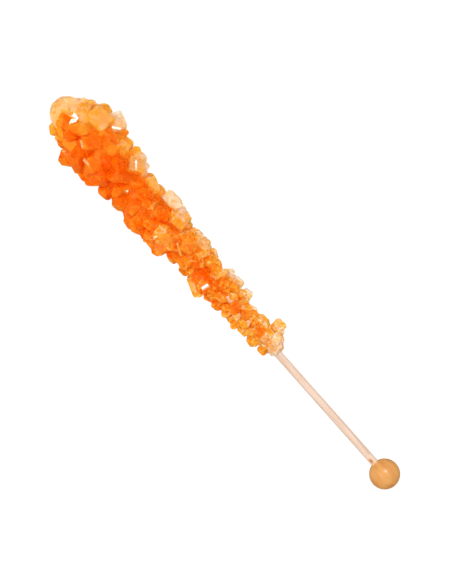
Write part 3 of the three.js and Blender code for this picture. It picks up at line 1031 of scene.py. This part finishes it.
# %% The sugar finish
PEACH_TINTS = [  # from clear to deep, in the neck
    (0.0, (0.95, 0.84, 0.74)), (0.25, (0.95, 0.63, 0.31)),
    (0.5, (0.95, 0.46, 0.04)), (1.0, (0.92, 0.15, 0.0003)),
]
GOLDEN_TINTS = [  # and in the head
    (0.0, (0.95, 0.80, 0.63)), (0.25, (0.95, 0.58, 0.25)),
    (0.5, (0.95, 0.43, 0.03)), (1.0, (0.92, 0.145, 0.0003)),
]
GOLDEN = (table_x(112.0), table_x(135.0))
CLEAR_TO_DEEP = (0.0, 1.0)
SHOWS_THROUGH = (0.4, 0.5)
HAZE = (160.0, 2.0)
HAZE_RANGE = (0.35, 0.65)
HAZE_ROUGHNESS = (0.15, 0.35)
WAVES = (260.0, 2.0)
WAVE_STRENGTH = (1.0, 0.1)  # on plain and on polished facets
WAVE_HEIGHT = 0.4 * MM
WET_COAT = (0.03, 1.0)  # on plain and on polished facets
WET_ROUGHNESS = 0.04
PLAIN_MIRROR = 0.0  # the wet coat mirrors instead
BENDS_LIGHT = 1.25
SCATTER_SHARE = 1.0
SCATTER_REACH = (1.0, 0.8, 0.6)  # how far red, green and blue wander inside
THIN_SUGAR = (table_x(53.0), table_x(62.0))
SCATTER_DEPTH = (0.5 * MM, 2.6 * MM)
TAKES_PER_METRE = (1.0, 28.0, 120.0)  # how fast red, green and blue fade inside
HEADROOM = 1.02  # so that the colour of the inside stays above zero
DENSITY = max(TAKES_PER_METRE) * HEADROOM


def sugar_finish():
    """Clear dyed sugar with clouds, cracks and specks inside and a wet skin."""
    material, tree, shader = new_material("dyed sugar")
    place = own_place(tree)
    along = x_of(tree, place)
    crooked = bend_place(tree, place)
    depth = maths(tree, "ADD", crystal_dye(tree), wandering_dye(tree, place, crooked))
    depth = maths(tree, "ADD", depth, cracks_and_specks(tree, place, crooked))
    polish = stored(tree, "polish")
    waves = add_node(tree, "ShaderNodeBump", Strength=remap(tree, polish, NO_OR_YES, WAVE_STRENGTH),
                     Distance=WAVE_HEIGHT, Height=noise(tree, place, *WAVES)).outputs[0]
    peach = add_ramp(tree, depth, PEACH_TINTS)
    golden = add_ramp(tree, depth, GOLDEN_TINTS)
    set_inputs(tree, shader, {
        "Base Color": mix_colour(tree, remap(tree, along, GOLDEN, NO_OR_YES), peach, golden),
        "Transmission Weight": remap(tree, depth, CLEAR_TO_DEEP, SHOWS_THROUGH),
        "Roughness": remap(tree, noise(tree, place, *HAZE), HAZE_RANGE, HAZE_ROUGHNESS),
        "Normal": waves,
        "Coat Normal": waves,
        "Coat Weight": remap(tree, polish, NO_OR_YES, WET_COAT),
        "Coat Roughness": WET_ROUGHNESS,
        "IOR": BENDS_LIGHT,
        "Specular IOR Level": PLAIN_MIRROR,
        "Subsurface Weight": SCATTER_SHARE,
        "Subsurface Radius": SCATTER_REACH,
        "Subsurface Scale": remap(tree, along, THIN_SUGAR, SCATTER_DEPTH),
    })
    left_over = solid([1 - take / DENSITY for take in TAKES_PER_METRE])
    inside = add_node(tree, "ShaderNodeVolumeAbsorption", Density=DENSITY, Color=left_over)
    plug(tree, tree.nodes["Material Output"].inputs["Volume"], inside.outputs[0])
    return material


def dress(piece, material):
    """Gives a piece one finish in place of what it had."""
    piece.data.materials.clear()
    piece.data.materials.append(material)


dress(sugar, sugar_finish())
print("the sugar finish has", len(sugar.data.materials[0].node_tree.nodes), "nodes")

# %% [markdown]
# ## The dowel
# A birch dowel is pale, with fine straight grain. A plain rod with a fine noise, stretched along its
# length, shows that. The glue has left a paler collar next to the ball, and in it is one knot, a small
# brown spot in the grain. Inside the sugar the wood has soaked up the dye.

# %% Turn the dowel
DOWEL_SIDES = 64
WOOD_SHARP_ABOVE = math.radians(40)
dowel = turned("birch_dowel", rod_outline(DOWEL_START, DOWEL_END, DOWEL_DIAMETER / 2), DOWEL_SIDES)
dowel.data.transform(STICK)
shade(dowel, WOOD_SHARP_ABOVE)
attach(dowel, "root")
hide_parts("dowel")
print("the dowel has", len(dowel.data.polygons), "faces")

# %% The birch finish
BIRCH_WAVES = (60.0, 1500.0, 1500.0)  # waves in a metre, along the grain and across it
BIRCH_GRAIN = (1.0, 4.0)  # waves for each of those, and the detail of the noise
GRAIN_STRENGTH = 0.5
GRAIN_HEIGHT = 0.05 * MM
BIRCH_ROUGHNESS = 0.6
BIRCH_TINTS = [(0.3, (0.60, 0.40, 0.28)), (0.5, (0.73, 0.53, 0.41)), (0.8, (0.79, 0.61, 0.50))]
GLUE = (0.80, 0.66, 0.55)
GLUED = (table_x(7.6), table_x(8.4))
GLUE_SHARE = (0.5, 0.0)
KNOT_ALONG, KNOT_ASIDE = 6.2, 0.5
KNOT = STICK @ Vector((KNOT_ALONG, KNOT_ASIDE, math.sqrt((DOWEL_DIAMETER / 2) ** 2 - KNOT_ASIDE**2)))
KNOT_SQUEEZE = (0.5, 1.0, 1.0)  # squeezing the dowel's length makes the knot longer than it is wide
KNOT_RINGS = (  # how far it reaches at its faintest and at its fullest, how full it gets, and its colour
    ((1.2 * MM, 0.4 * MM), 0.6, (0.84, 0.40, 0.16)),
    ((0.6 * MM, 0.2 * MM), 0.9, (0.38, 0.15, 0.05)),
)
SOAKED_WOOD = (1.0, 0.40, 0.06)
SOAKED = (table_x(52.4), table_x(55.0))


def birch_finish():
    """Pale birch with a glue collar, a knot, and dye where it is inside the sugar."""
    material, tree, shader = new_material("pale birch")
    place = own_place(tree)
    along = x_of(tree, place)
    grain = noise(tree, scaled(tree, place, BIRCH_WAVES), *BIRCH_GRAIN)
    colour = add_ramp(tree, grain, BIRCH_TINTS)
    colour = mix_colour(tree, remap(tree, along, GLUED, GLUE_SHARE), colour, solid(GLUE))
    distance = add_node(tree, "ShaderNodeVectorMath", {"operation": "DISTANCE"})
    plug(tree, distance.inputs[0], scaled(tree, place, KNOT_SQUEEZE))
    plug(tree, distance.inputs[1], KNOT * Vector(KNOT_SQUEEZE))
    from_knot = distance.outputs["Value"]
    for reach, fullest, brown in KNOT_RINGS:
        colour = mix_colour(tree, remap(tree, from_knot, reach, (0.0, fullest)), colour, solid(brown))
    colour = mix_colour(tree, remap(tree, along, SOAKED, NO_OR_YES), colour, solid(SOAKED_WOOD))
    bump = add_node(tree, "ShaderNodeBump", Strength=GRAIN_STRENGTH, Distance=GRAIN_HEIGHT, Height=grain)
    set_inputs(tree, shader, {
        "Base Color": colour,
        "Normal": bump.outputs[0],
        "Roughness": BIRCH_ROUGHNESS,
    })
    return material


dress(dowel, birch_finish())
print("the knot is at", [round(c / MM, 1) for c in KNOT], "mm")

# %% [markdown]
# ## The ball
# The ball is turned from a warmer wood and varnished. Its outline starts in the socket that the dowel is
# glued into, comes out over the rim and runs round to the far pole, so the lathe makes ball and socket in
# one go.

# %% Turn the ball
BALL_STEPS = 60
BALL_SIDES = 96
BALL_RADIUS = BALL_DIAMETER / 2


def ball_outline():
    """The socket and the round of the ball, as along, radius and aside."""
    rim = math.asin(BORE_RADIUS / BALL_RADIUS)
    angles = [mix(rim, math.pi, i / BALL_STEPS) for i in range(BALL_STEPS)]
    outline = [(DOWEL_START - GRIP, 0.0, 0.0), (DOWEL_START - GRIP, BORE_RADIUS, 0.0)]
    outline += [(BALL_RADIUS * math.cos(a), BALL_RADIUS * math.sin(a), 0.0) for a in angles]
    return outline + [(-BALL_RADIUS, 0.0, 0.0)]


ball = turned("turned_ball", ball_outline(), BALL_SIDES)
ball.data.transform(STICK)
combine(ball, [below_table()], "DIFFERENCE")
shade(ball, WOOD_SHARP_ABOVE)
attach(ball, "root")
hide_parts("ball")
print("the ball has", len(ball.data.polygons), "faces")

# %% The beech finish
BEECH_WAVES = (80.0, 400.0, 400.0)
BEECH_GRAIN = (1.0, 5.0)
BEECH_ROUGHNESS = 0.4
VARNISH = 0.4
VARNISH_ROUGHNESS = 0.25
BEECH_TINTS = [(0.3, (0.55, 0.20, 0.045)), (0.5, (0.69, 0.31, 0.08)), (0.8, (0.78, 0.40, 0.13))]


def beech_finish():
    """Honey-coloured beech under a thin varnish."""
    material, tree, shader = new_material("varnished beech")
    grain = noise(tree, scaled(tree, own_place(tree), BEECH_WAVES), *BEECH_GRAIN)
    set_inputs(tree, shader, {
        "Base Color": add_ramp(tree, grain, BEECH_TINTS),
        "Roughness": BEECH_ROUGHNESS,
        "Coat Weight": VARNISH,
        "Coat Roughness": VARNISH_ROUGHNESS,
    })
    return material


dress(ball, beech_finish())
print("the ball is", BALL_DIAMETER, "mm across")

# %% [markdown]
# ## The glowing table
# A plain white sheet that glows. A little of it is ordinary grey paint, so that the stick still darkens
# it where the two touch. The facets don't mirror it. The sugar, which light passes through, gets all of
# its glow. Dull surfaces get less, and the wood least of all, because a rod and a ball only look round
# when their flanks are darker.

# %% Lay the table
FLOOR_SIZE = 3.0
FLOOR_GREY = (0.1, 0.1, 0.1)
FLOOR_ROUGHNESS = 1.0
FLOOR_MIRROR = 0.0
GLOW = 1.4
WOOD_TO_SUGAR = (table_x(25.0), table_x(50.0))
LESS_ON_DULL = (-1.1, -0.5)  # next to the wood and next to the sugar
LESS_FOR_THE_EYE = -0.45


def table_finish():
    """White paint that glows through the sugar more than on the wood."""
    material, tree, shader = new_material("glowing table")
    ray = add_node(tree, "ShaderNodeLightPath").outputs
    less = remap(tree, x_of(tree, own_place(tree)), WOOD_TO_SUGAR, LESS_ON_DULL)
    glow = maths(tree, "MULTIPLY_ADD", ray["Is Diffuse Ray"], less, GLOW)
    glow = maths(tree, "MULTIPLY_ADD", ray["Is Camera Ray"], LESS_FOR_THE_EYE, glow)
    set_inputs(tree, shader, {
        "Base Color": solid(FLOOR_GREY),
        "Roughness": FLOOR_ROUGHNESS,
        "Specular IOR Level": FLOOR_MIRROR,
        "Emission Color": solid(WHITE),
        "Emission Strength": glow,
    })
    return material


bm = bmesh.new()
bmesh.ops.create_grid(bm, x_segments=1, y_segments=1, size=FLOOR_SIZE)
floor = mesh_object("floor", bm)
floor.visible_glossy = False
dress(floor, table_finish())
print("the table is", 2 * FLOOR_SIZE, "m wide")
